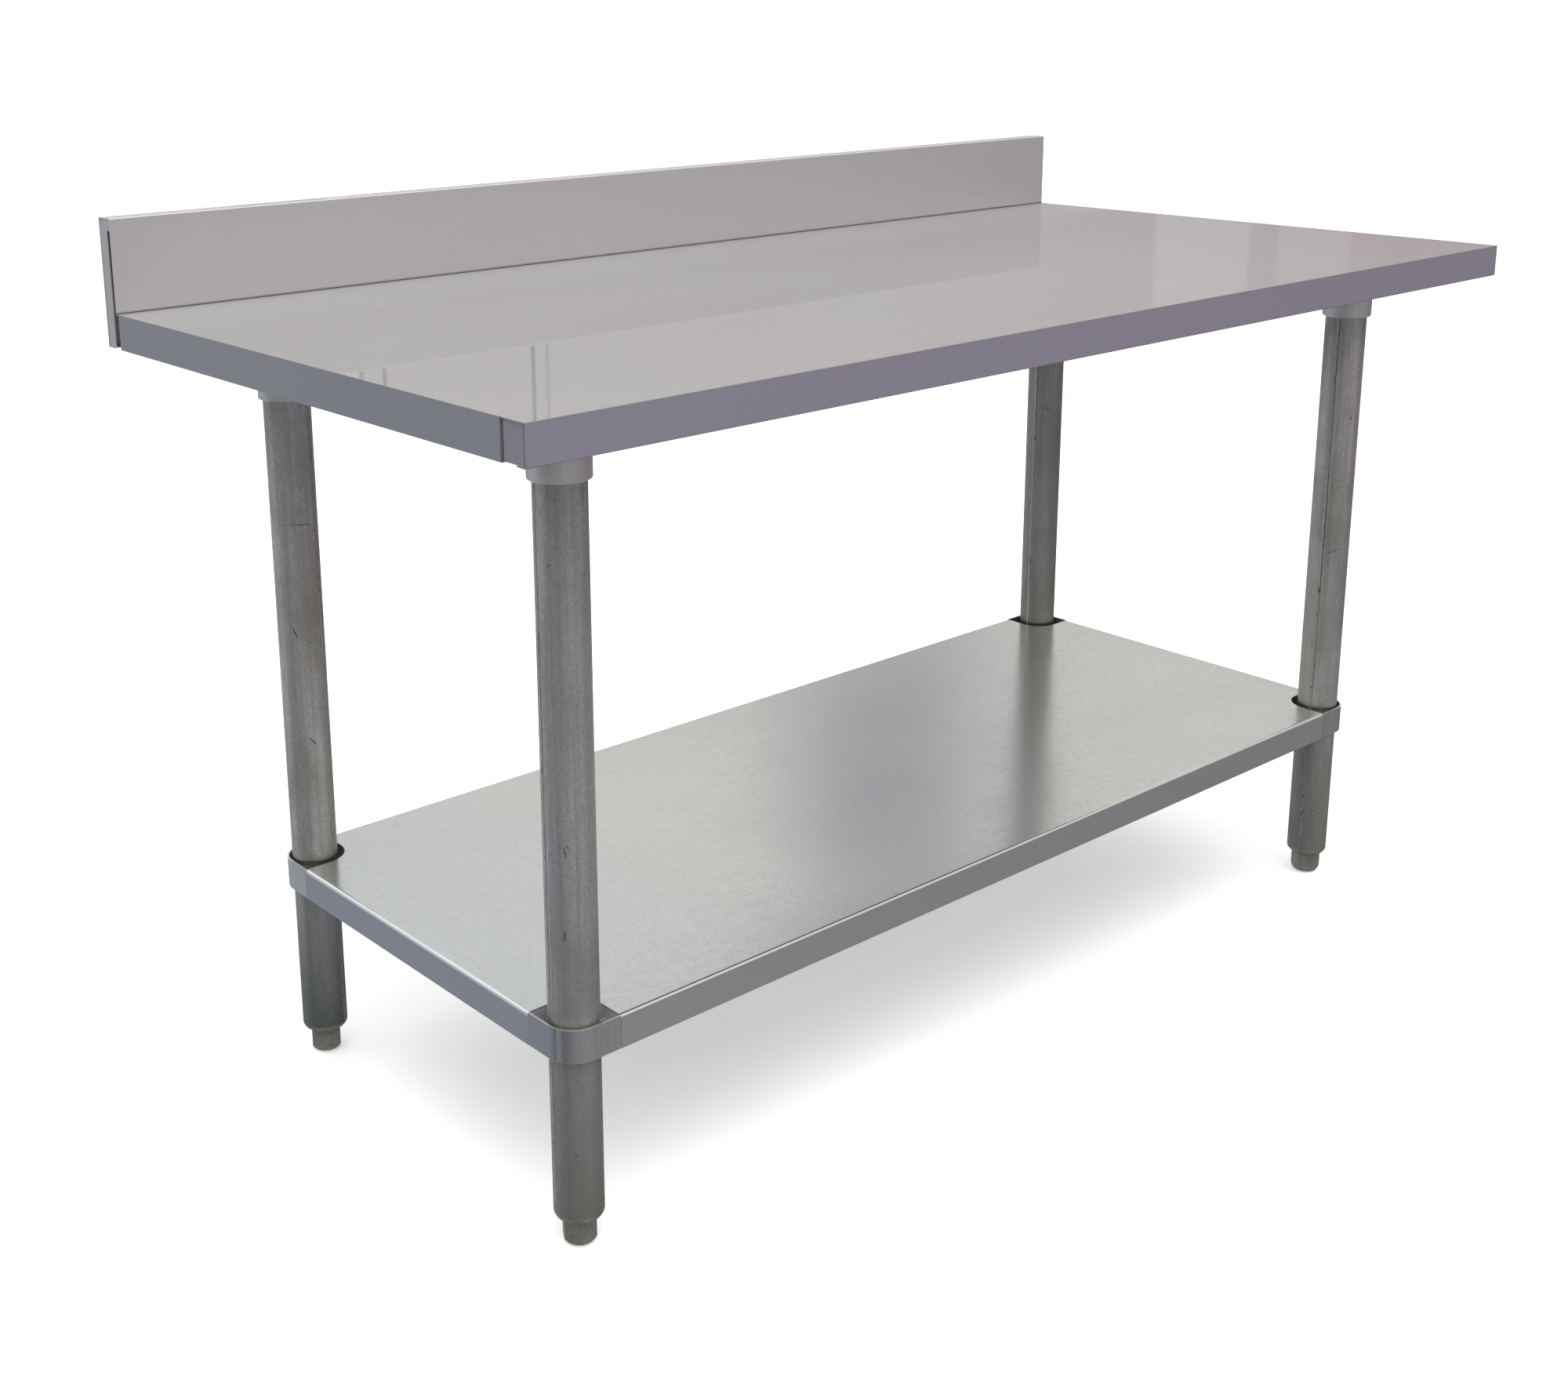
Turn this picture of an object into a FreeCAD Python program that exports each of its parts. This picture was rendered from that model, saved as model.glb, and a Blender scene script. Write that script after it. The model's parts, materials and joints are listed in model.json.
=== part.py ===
import FreeCAD, Part
import math
import os
import Sketcher
from FreeCAD import Placement, Rotation, Vector

# Stainless work table with a rear splash, four tube legs, an undershelf and screw-in bullet feet.
# Millimetres. +X runs along the front to the right, +Y to the rear, +Z up.
# The origin is on the floor, midway between the ends and midway between front edge and splash back.

# Driving dimensions. Heights are above the floor unless the name says otherwise.
DIMENSIONS = {
    # worktop
    "table_length": 1524.0,
    "table_depth": 762.0,
    "work_height": 863.6,
    "splash_rise": 101.6,
    "splash_thickness": 25.4,
    "apron_drop": 38.1,
    "apron_lip": 12.0,
    "sheet_gauge": 1.2,
    "top_bend_radius": 1.1,
    "side_apron_setback": 32.0,
    "rear_apron_gap": 4.0,
    # splash end caps and front corner plates
    "cap_recess": 0.5,
    "cap_strip_width": 16.0,
    "cap_head_height": 12.0,
    "cap_return": 20.0,
    "corner_plate_lap": 12.0,
    "corner_plate_return": 28.0,
    # hat channels under the worktop
    "channel_gauge": 1.5,
    "channel_web_width": 60.0,
    "channel_height": 30.0,
    "channel_flange": 16.0,
    "channel_front_clearance": 8.0,
    "channel_rear_clearance": 6.0,
    "channel_hole_radius": 3.2,
    "stud_radius": 3.0,
    "stud_length": 12.0,
    "stud_end_distance": 40.0,
    "nut_across_flats": 10.0,
    "nut_height": 5.0,
    "nut_bore_radius": 3.05,
    # leg frame
    "leg_axis_x": 634.0,
    "leg_axis_front": 254.0,
    "leg_axis_rear": 231.0,
    "leg_radius": 25.4,
    "leg_wall": 1.5,
    "leg_end_height": 37.0,
    "leg_top_clearance": 0.3,
    # leg sockets
    "socket_radius": 30.0,
    "socket_drop": 89.0,
    "socket_clearance": 0.15,
    "socket_roof": 4.0,
    "socket_rim_radius": 1.5,
    "socket_screw_rise": 18.0,
    "set_screw_radius": 4.0,
    "set_screw_length": 10.0,
    "set_screw_hex": 4.0,
    "set_screw_hex_depth": 4.0,
    "screw_clearance": 0.05,
    # screw feet
    "insert_depth": 30.0,
    "insert_base_height": 29.5,
    "insert_shoulder_radius": 7.4,
    "thread_radius": 6.0,
    "thread_clearance": 0.05,
    "stem_bottom": 4.0,
    "stem_top": 76.0,
    "stem_chamfer": 1.0,
    "foot_gap": 0.4,
    "foot_across_flats": 32.0,
    "foot_nose_radius": 10.2,
    "foot_top_chamfer": 2.6,
    "foot_bore_floor": 3.6,
    # undershelf
    "shelf_height": 245.0,
    "shelf_apron": 35.0,
    "shelf_overhang": 31.0,
    "shelf_bend_radius": 4.0,
    "shelf_lip": 12.0,
    "notch_reach": 33.0,
    "notch_radius": 32.0,
    "seam_gap": 0.4,
    "band_gauge": 2.0,
    "band_edge_radius": 0.5,
    "band_lap": 14.0,
    "band_lap_clearance": 3.0,
    "bracket_gauge": 2.0,
    "bracket_chamfer": 3.2,
    "stiffener_height": 25.0,
    "stiffener_end_gap": 40.0,
    # screws that clamp the undershelf to the legs
    "clamp_screw_radius": 4.0,
    "clamp_screw_length": 22.0,
    "clamp_tip_gap": 0.35,
    "clamp_head_flats": 13.0,
    "clamp_head_height": 5.3,
    "clamp_screw_drop": 19.0,
}

doc = FreeCAD.newDocument("WorkTable")
sheet = doc.addObject("Spreadsheet::Sheet", "Dimensions")
for row, (alias, number) in enumerate(DIMENSIONS.items(), start=1):
    sheet.set(f"A{row}", alias)
    sheet.set(f"B{row}", str(number))
    sheet.setAlias(f"B{row}", alias)
doc.recompute()


class Size:
    """A length that carries its value and the expression over sheet cells that it comes from."""

    def __init__(self, value, text):
        self.value = value
        self.text = text

    def __add__(self, other):
        other = sized(other)
        return Size(self.value + other.value, f"({self.text} + {other.text})")

    def __sub__(self, other):
        other = sized(other)
        return Size(self.value - other.value, f"({self.text} - {other.text})")

    def __mul__(self, factor):
        return Size(self.value * factor, f"({self.text} * {factor})")

    def __truediv__(self, divisor):
        return Size(self.value / divisor, f"({self.text} / {divisor})")

    def __neg__(self):
        return self * -1

    __rmul__ = __mul__
    __radd__ = __add__


def sized(number):
    """The number as a Size, unless it is one already."""
    return number if isinstance(number, Size) else Size(float(number), str(float(number)))


def cell(alias):
    """The Size held by one cell of the sheet."""
    return Size(float(sheet.get(alias)), f"Dimensions.{alias}")


# Levels and lines that several pieces share.
gauge = cell("sheet_gauge")
top_z = cell("work_height")
deck_under_z = top_z - gauge
apron_z = top_z - cell("apron_drop")
splash_z = top_z + cell("splash_rise")
end_x = cell("table_length") / 2
front_y = -cell("table_depth") / 2
rear_y = cell("table_depth") / 2
splash_y = rear_y - cell("splash_thickness")
web_z = deck_under_z - cell("channel_height")
socket_z = top_z - cell("socket_drop")
leg_x = cell("leg_axis_x")
leg_front_y = -cell("leg_axis_front")
leg_rear_y = cell("leg_axis_rear")
leg_radius = cell("leg_radius")
shelf_top_z = cell("shelf_height")
shelf_under_z = shelf_top_z - gauge
shelf_base_z = shelf_top_z - cell("shelf_apron")
overhang = cell("shelf_overhang")
notch = cell("notch_reach")
bracket = cell("bracket_gauge")
foot_top_z = cell("insert_base_height") - cell("foot_gap")

# Each leg's name, the sign of its end along X, its Y position and the sign of its side along Y.
LEGS = (
    ("front_left", -1, leg_front_y, -1),
    ("front_right", 1, leg_front_y, -1),
    ("rear_left", -1, leg_rear_y, 1),
    ("rear_right", 1, leg_rear_y, 1),
)
FULL_TURN = 360
HALF_TURN = FULL_TURN / 2
QUARTER_TURN = FULL_TURN / 4
HEX_SIDES = 6
# Decimal places that make a cosine of a right angle exactly nought.
DECIMALS = 9
nodes = []


# ---- helpers ---------------------------------------------------------------------------------


def new_body(name):
    """A PartDesign body that becomes one node of the table."""
    body = doc.addObject("PartDesign::Body", name)
    body.Label = name
    nodes.append(body)
    return body


def place(thing, x, y, z):
    """Bind an object's position to the sheet."""
    for axis, size in zip("xyz", (x, y, z)):
        thing.setExpression(f"Placement.Base.{axis}", sized(size).text)


def new_sketch(body, plane, name, offset=0):
    """A sketch on one of the body's origin planes, moved along the plane's normal."""
    sketch = body.newObject("Sketcher::SketchObject", name)
    role = f"{plane}_Plane"
    support = [datum for datum in body.Origin.OriginFeatures if datum.Role == role][0]
    sketch.AttachmentSupport = [(support, "")]
    sketch.MapMode = "FlatFace"
    sketch.setExpression("AttachmentOffset.Base.z", sized(offset).text)
    return sketch


def pin_point(sketch, geometry, point, x, y):
    """Hold a point of the sketch at driven distances from the sketch's origin."""
    for kind, size, on_axis in (("DistanceX", sized(x), -2), ("DistanceY", sized(y), -1)):
        if size.value == 0:
            sketch.addConstraint(Sketcher.Constraint("PointOnObject", geometry, point, on_axis))
            continue
        index = sketch.addConstraint(Sketcher.Constraint(kind, -1, 1, geometry, point, size.value))
        sketch.setExpression(f"Constraints[{index}]", size.text)


def polygon(sketch, corners):
    """A closed outline of straight lines, each corner held at its driven position."""
    first = sketch.GeometryCount
    count = len(corners)
    points = [Vector(sized(x).value, sized(y).value, 0) for x, y in corners]
    for index in range(count):
        line = Part.LineSegment(points[index], points[(index + 1) % count])
        sketch.addGeometry(line, False)
    for index, (x, y) in enumerate(corners):
        before = first + (index - 1) % count
        sketch.addConstraint(Sketcher.Constraint("Coincident", first + index, 1, before, 2))
        pin_point(sketch, first + index, 1, x, y)


def rectangle(sketch, x_low, y_low, x_high, y_high):
    """A driven rectangle, whichever way round its corners are given."""
    polygon(sketch, [(x_low, y_low), (x_high, y_low), (x_high, y_high), (x_low, y_high)])


def circle(sketch, x, y, radius):
    """A driven circle."""
    centre = Vector(sized(x).value, sized(y).value, 0)
    index = sketch.addGeometry(Part.Circle(centre, Vector(0, 0, 1), radius.value), False)
    pin_point(sketch, index, 3, x, y)
    radius_index = sketch.addConstraint(Sketcher.Constraint("Radius", index, radius.value))
    sketch.setExpression(f"Constraints[{radius_index}]", radius.text)


def pad(body, sketch, length, symmetric=False, reverse=False):
    """Add the sketch's area, extruded by a driven length."""
    feature = body.newObject("PartDesign::Pad", f"{sketch.Name}_pad")
    feature.Profile = sketch
    feature.setExpression("Length", length.text)
    feature.SideType = "Symmetric" if symmetric else "One side"
    feature.Reversed = reverse
    feature.Refine = True
    sketch.Visibility = False
    return feature


def pocket(body, sketch, length, symmetric=False, reverse=False):
    """Cut the sketch's area out of the body, and check that something was cut."""
    doc.recompute()
    before = body.Shape.Volume
    feature = body.newObject("PartDesign::Pocket", f"{sketch.Name}_pocket")
    feature.Profile = sketch
    feature.setExpression("Length", length.text)
    feature.SideType = "Symmetric" if symmetric else "One side"
    feature.Reversed = reverse
    feature.Refine = True
    doc.recompute()
    if body.Shape.Volume >= before:
        raise RuntimeError(f"{feature.Name} cuts nothing")
    return feature


def revolve(body, sketch):
    """Turn a sketch on the XZ plane once round the body's Z axis."""
    feature = body.newObject("PartDesign::Revolution", f"{sketch.Name}_turned")
    feature.Profile = sketch
    feature.ReferenceAxis = (sketch, ["V_Axis"])
    feature.Angle = FULL_TURN
    return feature


def edges_near(shape, points):
    """The names of the edges that pass through the given points."""
    found = []
    for point in points:
        probe = Part.Vertex(point)
        distances = [edge.distToShape(probe)[0] for edge in shape.Edges]
        found.append(f"Edge{distances.index(min(distances)) + 1}")
    return sorted(set(found))


def round_edges(body, points, radius, kind="Fillet"):
    """Fillet, or chamfer, the edges through the given points of the body's own frame."""
    doc.recompute()
    tip = body.Tip
    feature = body.newObject(f"PartDesign::{kind}", f"{tip.Name}_{kind.lower()}")
    feature.Base = (tip, edges_near(tip.Shape, points))
    feature.setExpression("Radius" if kind == "Fillet" else "Size", radius.text)
    doc.recompute()
    return feature


def at(x, y, z):
    """A point from sizes or plain numbers."""
    return Vector(sized(x).value, sized(y).value, sized(z).value)


def on_rim(radius, z):
    """A point of a turned piece's circular edge, away from the seam where the turning starts."""
    return at(0, radius, z)


# ---- worktop ---------------------------------------------------------------------------------


def worktop_sheet():
    """One folded sheet: aprons with safe lips, the deck, and a boxed splash along the rear."""
    body = new_body("worktop_sheet")
    lip = cell("apron_lip")
    section = new_sketch(body, "YZ", "worktop_section")
    outside = [
        (front_y + lip, apron_z),
        (front_y, apron_z),
        (front_y, top_z),
        (splash_y, top_z),
        (splash_y, splash_z),
        (rear_y, splash_z),
        (rear_y, apron_z),
        (rear_y - lip, apron_z),
    ]
    inside = [
        (rear_y - lip, apron_z + gauge),
        (rear_y - gauge, apron_z + gauge),
        (rear_y - gauge, splash_z - gauge),
        (splash_y + gauge, splash_z - gauge),
        (splash_y + gauge, deck_under_z),
        (front_y + gauge, deck_under_z),
        (front_y + gauge, apron_z + gauge),
        (front_y + lip, apron_z + gauge),
    ]
    polygon(section, outside + inside)
    pad(body, section, cell("table_length"), symmetric=True)

    apron_start = front_y + cell("side_apron_setback")
    apron_end = splash_y - cell("rear_apron_gap")
    for side, sign in (("left", -1), ("right", 1)):
        apron = new_sketch(body, "YZ", f"apron_{side}", sign * end_x)
        rectangle(apron, apron_start, apron_z, apron_end, deck_under_z)
        pad(body, apron, gauge, reverse=sign > 0)
        edge = new_sketch(body, "YZ", f"apron_lip_{side}", sign * end_x)
        rectangle(edge, apron_start, apron_z, apron_end, apron_z + gauge)
        pad(body, edge, lip, reverse=sign > 0)

    bends = [(front_y, apron_z), (front_y, top_z), (splash_y, splash_z)]
    bends += [(rear_y, splash_z), (rear_y, apron_z)]
    round_edges(body, [at(0, y, z) for y, z in bends], cell("top_bend_radius"))


def splash_end_cap(side, sign):
    """A welded angle that closes the splash's end, with a slot left along the splash face."""
    body = new_body(f"splash_end_cap_{side}")
    inner_front = splash_y + gauge
    inner_rear = rear_y - gauge
    inner_top = splash_z - gauge
    strip_front = inner_rear - cell("cap_strip_width")
    outer_x = sign * (end_x - cell("cap_recess"))
    plate = new_sketch(body, "YZ", f"cap_plate_{side}", outer_x)
    head_z = inner_top - cell("cap_head_height")
    outline = [
        (inner_front, head_z),
        (inner_front, inner_top),
        (inner_rear, inner_top),
        (inner_rear, apron_z + gauge),
        (strip_front, apron_z + gauge),
        (strip_front, head_z),
    ]
    polygon(plate, outline)
    pad(body, plate, gauge, reverse=sign > 0)
    wing = new_sketch(body, "YZ", f"cap_return_{side}", outer_x)
    rectangle(wing, inner_rear - gauge, apron_z + gauge, inner_rear, inner_top)
    pad(body, wing, cell("cap_return"), reverse=sign > 0)


def front_corner_plate(side, sign):
    """An angle welded inside a front corner, seen where the side apron stops short of it."""
    body = new_body(f"front_corner_plate_{side}")
    outer_x = end_x - gauge
    inner_x = outer_x - gauge
    front = front_y + gauge * 2
    back = front_y + cell("side_apron_setback") + cell("corner_plate_lap")
    wing_x = outer_x - cell("corner_plate_return")
    outline = [
        (sign * outer_x, front),
        (sign * outer_x, back),
        (sign * inner_x, back),
        (sign * inner_x, front + gauge),
        (sign * wing_x, front + gauge),
        (sign * wing_x, front),
    ]
    plan = new_sketch(body, "XY", f"corner_plan_{side}", apron_z + gauge)
    polygon(plan, outline)
    pad(body, plan, deck_under_z - apron_z - gauge)


# ---- hat channels under the worktop and under the shelf --------------------------------------


def hat_section(sketch, roof_z, height):
    """The folded outline of a hat channel that hangs by its flanges from a flat roof."""
    metal = cell("channel_gauge")
    half = cell("channel_web_width") / 2
    flange = cell("channel_flange")
    floor_z = roof_z - height
    right = [
        (half, floor_z),
        (half, roof_z - metal),
        (half + flange, roof_z - metal),
        (half + flange, roof_z),
        (half - metal, roof_z),
        (half - metal, floor_z + metal),
    ]
    left = [(-x, z) for x, z in reversed(right)]
    polygon(sketch, right + left)


def stud_grid(length):
    """Where four weld studs pass through a channel's flanges, seen along its own length."""
    across = (cell("channel_web_width") + cell("channel_flange")) / 2
    along = length / 2 - cell("stud_end_distance")
    return [(side * across, end * along) for side in (-1, 1) for end in (-1, 1)]


def drill_flanges(body, name, length):
    """Clearance holes for the weld studs. The channel runs along the body's Y axis."""
    holes = new_sketch(body, "XY", name, deck_under_z)
    for x, y in stud_grid(length):
        circle(holes, x, y, cell("channel_hole_radius"))
    pocket(body, holes, cell("channel_gauge") * 2)


def channel(name, length, x, y, along_x=False):
    """A hat channel stud-fixed under the worktop."""
    body = new_body(name)
    section = new_sketch(body, "XZ", f"{name}_section")
    hat_section(section, deck_under_z, cell("channel_height"))
    pad(body, section, length, symmetric=True)
    drill_flanges(body, f"{name}_holes", length)
    if along_x:
        body.Placement = Placement(Vector(), Rotation(Vector(0, 0, 1), QUARTER_TURN))
    place(body, x, y, 0)
    grid = stud_grid(length)
    return [(x - v, y + u) if along_x else (x + u, y + v) for u, v in grid]


def cross_channel_span():
    """The length and the middle of a channel that runs from the front apron to the splash."""
    start = front_y + gauge + cell("channel_front_clearance")
    end = splash_y - cell("channel_rear_clearance")
    return end - start, (start + end) / 2


def centre_channel_length():
    """The length that fits between the two cross channels' flanges."""
    half = leg_x - cell("channel_web_width") / 2 - cell("channel_flange")
    return (half - cell("channel_front_clearance")) * 2


def hexagon(sketch, across_flats):
    """A driven regular hexagon round the sketch's origin."""
    reach = across_flats / (2 * math.cos(math.pi / HEX_SIDES))
    angles = [2 * math.pi * side / HEX_SIDES for side in range(HEX_SIDES)]
    ring = [(round(math.cos(turn), DECIMALS), round(math.sin(turn), DECIMALS)) for turn in angles]
    polygon(sketch, [(reach * u if u else 0, reach * v if v else 0) for u, v in ring])


def fastener_master(name):
    """A body whose copies make up one group of equal fasteners. It isn't a node itself."""
    body = doc.addObject("PartDesign::Body", name)
    body.Label = name
    return body


def fastener_group(name, master, positions, turns=None):
    """One node that holds a copy of the master at each position."""
    copies = []
    turns = turns or [0] * len(positions)
    for index, ((x, y, z), turn) in enumerate(zip(positions, turns), start=1):
        copy = doc.addObject("App::Link", f"{name}_{index}")
        copy.LinkedObject = master
        copy.LinkTransform = False
        copy.Placement = Placement(Vector(), Rotation(Vector(0, 0, 1), turn))
        place(copy, x, y, z)
        copies.append(copy)
    group = doc.addObject("Part::Compound", name)
    group.Label = name
    group.Links = copies
    nodes.append(group)


def channel_fasteners(positions):
    """Weld studs through the channel flanges, and the nuts that hold the channels up."""
    stud = fastener_master("stud_master")
    shank = new_sketch(stud, "XY", "stud_outline")
    circle(shank, 0, 0, cell("stud_radius"))
    pad(stud, shank, cell("stud_length"), reverse=True)
    fastener_group("channel_studs", stud, [(x, y, deck_under_z) for x, y in positions])

    nut = fastener_master("nut_master")
    outline = new_sketch(nut, "XY", "nut_outline")
    hexagon(outline, cell("nut_across_flats"))
    circle(outline, 0, 0, cell("nut_bore_radius"))
    pad(nut, outline, cell("nut_height"), reverse=True)
    nut_z = deck_under_z - cell("channel_gauge")
    fastener_group("channel_nuts", nut, [(x, y, nut_z) for x, y in positions])


# ---- legs, sockets and feet ------------------------------------------------------------------


def leg_socket(corner, sign, y):
    """A turned cup welded under a cross channel. The leg's top end stands in it."""
    body = new_body(f"leg_socket_{corner}")
    outer = cell("socket_radius")
    bore = leg_radius + cell("socket_clearance")
    roof_z = web_z - cell("socket_roof")
    section = new_sketch(body, "XZ", f"socket_{corner}_section")
    outline = [
        (0, web_z),
        (outer, web_z),
        (outer, socket_z),
        (bore, socket_z),
        (bore, roof_z),
        (0, roof_z),
    ]
    polygon(section, outline)
    revolve(body, section)
    round_edges(body, [on_rim(outer, socket_z)], cell("socket_rim_radius"))
    hole = new_sketch(body, "XZ", f"socket_{corner}_screw_hole")
    radius = cell("set_screw_radius") + cell("screw_clearance")
    circle(hole, 0, socket_z + cell("socket_screw_rise"), radius)
    pocket(body, hole, outer * 2)
    place(body, sign * leg_x, y, 0)


def socket_set_screws():
    """A headless screw in each socket's rear side, with its tip against the leg."""
    screw = fastener_master("set_screw_master")
    shank = new_sketch(screw, "XZ", "set_screw_outline")
    circle(shank, 0, 0, cell("set_screw_radius"))
    pad(screw, shank, cell("set_screw_length"), reverse=True)
    back = -cell("set_screw_length")
    drive = new_sketch(screw, "XZ", "set_screw_drive", back)
    hexagon(drive, cell("set_screw_hex"))
    pocket(screw, drive, cell("set_screw_hex_depth"), reverse=True)
    tip = leg_radius + cell("screw_clearance")
    height = socket_z + cell("socket_screw_rise")
    positions = [(sign * leg_x, y + tip, height) for _, sign, y, _ in LEGS]
    fastener_group("socket_set_screws", screw, positions)


def leg(corner, sign, y):
    """A round tube from its foot insert up to the roof of its socket."""
    body = new_body(f"leg_{corner}")
    low = cell("leg_end_height")
    high = web_z - cell("socket_roof") - cell("leg_top_clearance")
    section = new_sketch(body, "XY", f"leg_{corner}_section", low)
    circle(section, 0, 0, leg_radius)
    circle(section, 0, 0, leg_radius - cell("leg_wall"))
    pad(body, section, high - low)
    place(body, sign * leg_x, y, 0)


def foot_insert(corner, sign, y):
    """A plug pressed into the leg's lower end, with a rounded shoulder and a threaded bore."""
    body = new_body(f"foot_insert_{corner}")
    bore = cell("thread_radius") + cell("thread_clearance")
    plug = leg_radius - cell("leg_wall")
    base_z = cell("insert_base_height")
    shoulder_z = cell("leg_end_height")
    section = new_sketch(body, "XZ", f"insert_{corner}_section")
    outline = [
        (bore, base_z),
        (leg_radius, base_z),
        (leg_radius, shoulder_z),
        (plug, shoulder_z),
        (plug, shoulder_z + cell("insert_depth")),
        (bore, shoulder_z + cell("insert_depth")),
    ]
    polygon(section, outline)
    revolve(body, section)
    round_edges(body, [on_rim(leg_radius, base_z)], cell("insert_shoulder_radius"))
    place(body, sign * leg_x, y, 0)


def foot_stem(corner, sign, y):
    """The threaded rod that carries the bullet foot, drawn at its thread's outer radius."""
    body = new_body(f"foot_stem_{corner}")
    section = new_sketch(body, "XY", f"stem_{corner}_section", cell("stem_bottom"))
    circle(section, 0, 0, cell("thread_radius"))
    pad(body, section, cell("stem_top") - cell("stem_bottom"))
    tip = on_rim(cell("thread_radius"), cell("stem_top"))
    round_edges(body, [tip], cell("stem_chamfer"), kind="Chamfer")
    place(body, sign * leg_x, y, 0)


def bullet_foot(corner, sign, y):
    """A turned foot with a round nose, milled with six flats for a spanner."""
    body = new_body(f"bullet_foot_{corner}")
    flats = cell("foot_across_flats")
    corner_radius = flats / (2 * math.cos(math.pi / HEX_SIDES))
    bore = cell("thread_radius") + cell("thread_clearance")
    chamfer = cell("foot_top_chamfer")
    section = new_sketch(body, "XZ", f"foot_{corner}_section")
    outline = [
        (0, 0),
        (corner_radius, 0),
        (corner_radius, foot_top_z - chamfer / 2),
        (corner_radius - chamfer, foot_top_z),
        (bore, foot_top_z),
        (bore, cell("foot_bore_floor")),
        (0, cell("foot_bore_floor")),
    ]
    polygon(section, outline)
    revolve(body, section)
    round_edges(body, [on_rim(corner_radius, 0)], cell("foot_nose_radius"))
    flat = new_sketch(body, "XY", f"foot_{corner}_flat")
    rectangle(flat, -flats / 2, flats / 2, flats / 2, flats)
    cut = pocket(body, flat, foot_top_z, reverse=True)
    pattern = body.newObject("PartDesign::PolarPattern", f"foot_{corner}_flats")
    pattern.Originals = [cut]
    pattern.Axis = (flat, ["N_Axis"])
    pattern.Angle = FULL_TURN
    pattern.Occurrences = HEX_SIDES
    body.Tip = pattern
    place(body, sign * leg_x, y, 0)


# ---- undershelf ------------------------------------------------------------------------------


def shelf_pan():
    """A shallow folded pan, open below, with lips and a notch that curves round each leg."""
    body = new_body("shelf_pan")
    out_x = leg_x + overhang
    front = leg_front_y - overhang
    rear = leg_rear_y + overhang
    height = cell("shelf_apron")
    lip = cell("shelf_lip")
    block = new_sketch(body, "XY", "shelf_outline", shelf_base_z)
    rectangle(block, -out_x, front, out_x, rear)
    pad(body, block, height)

    notches = new_sketch(body, "XY", "shelf_notches", shelf_base_z)
    for _, sign, y, back in LEGS:
        inner = (sign * (leg_x - notch), y - back * notch)
        outer = (sign * (leg_x + notch), y + back * notch)
        rectangle(notches, inner[0], inner[1], outer[0], outer[1])
    pocket(body, notches, height, reverse=True)
    mid_z = shelf_top_z - height / 2
    inner_corners = [at(sign * (leg_x - notch), y - back * notch, mid_z) for _, sign, y, back in LEGS]
    round_edges(body, inner_corners, cell("notch_radius"))

    hollow = new_sketch(body, "XY", "shelf_hollow", shelf_base_z + gauge)
    rectangle(hollow, -(out_x - gauge), front + gauge, out_x - gauge, rear - gauge)
    pocket(body, hollow, height - gauge * 2, reverse=True)
    mouth = new_sketch(body, "XY", "shelf_mouth", shelf_base_z)
    rectangle(mouth, -(out_x - lip), front + lip, out_x - lip, rear - lip)
    pocket(body, mouth, gauge, reverse=True)

    ends = [(-out_x, 0), (out_x, 0), (0, front), (0, rear)]
    round_edges(body, [at(x, y, shelf_top_z) for x, y in ends], cell("shelf_bend_radius"))
    inset = [(-(out_x - gauge), 0), (out_x - gauge, 0), (0, front + gauge), (0, rear - gauge)]
    inner_radius = cell("shelf_bend_radius") - gauge
    round_edges(body, [at(x, y, shelf_under_z) for x, y in inset], inner_radius)


def angle_plan(sketch, sign, back, arms, near, far):
    """An L seen from above: two equal arms that meet at the corner, between near and far."""
    turn = [(arms, near), (near, near), (near, arms), (far, arms), (far, far), (arms, far)]
    polygon(sketch, [(x * sign, y * back) for x, y in turn])


def shelf_corner_band(corner, sign, y, back):
    """The strip that carries the shelf's apron round a leg, with tongues welded behind the apron."""
    body = new_body(f"shelf_corner_band_{corner}")
    far = overhang
    near = overhang - cell("band_gauge")
    plan = new_sketch(body, "XY", f"band_{corner}_plan", shelf_base_z)
    angle_plan(plan, sign, back, -(notch - cell("seam_gap")), near, far)
    pad(body, plan, cell("shelf_apron"))
    mid_z = shelf_top_z - cell("shelf_apron") / 2
    round_edges(body, [at(sign * far, back * far, mid_z)], far)
    round_edges(body, [at(sign * near, back * near, mid_z)], near)
    rim = [at(0, back * far, z) for z in (shelf_top_z, shelf_base_z)]
    round_edges(body, rim, cell("band_edge_radius"))

    start = -(notch - cell("seam_gap") - cell("band_gauge"))
    end = -(notch + cell("band_lap"))
    behind = overhang - gauge
    low_z = shelf_base_z + gauge
    high_z = shelf_under_z - cell("band_lap_clearance")
    for name, along_x in (("front", True), ("side", False)):
        tongue = new_sketch(body, "XY", f"band_{corner}_tongue_{name}", low_z)
        low = (start, near) if along_x else (near, start)
        high = (end, behind) if along_x else (behind, end)
        rectangle(tongue, low[0] * sign, low[1] * back, high[0] * sign, high[1] * back)
        pad(body, tongue, high_z - low_z)
    place(body, sign * leg_x, y, 0)


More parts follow.
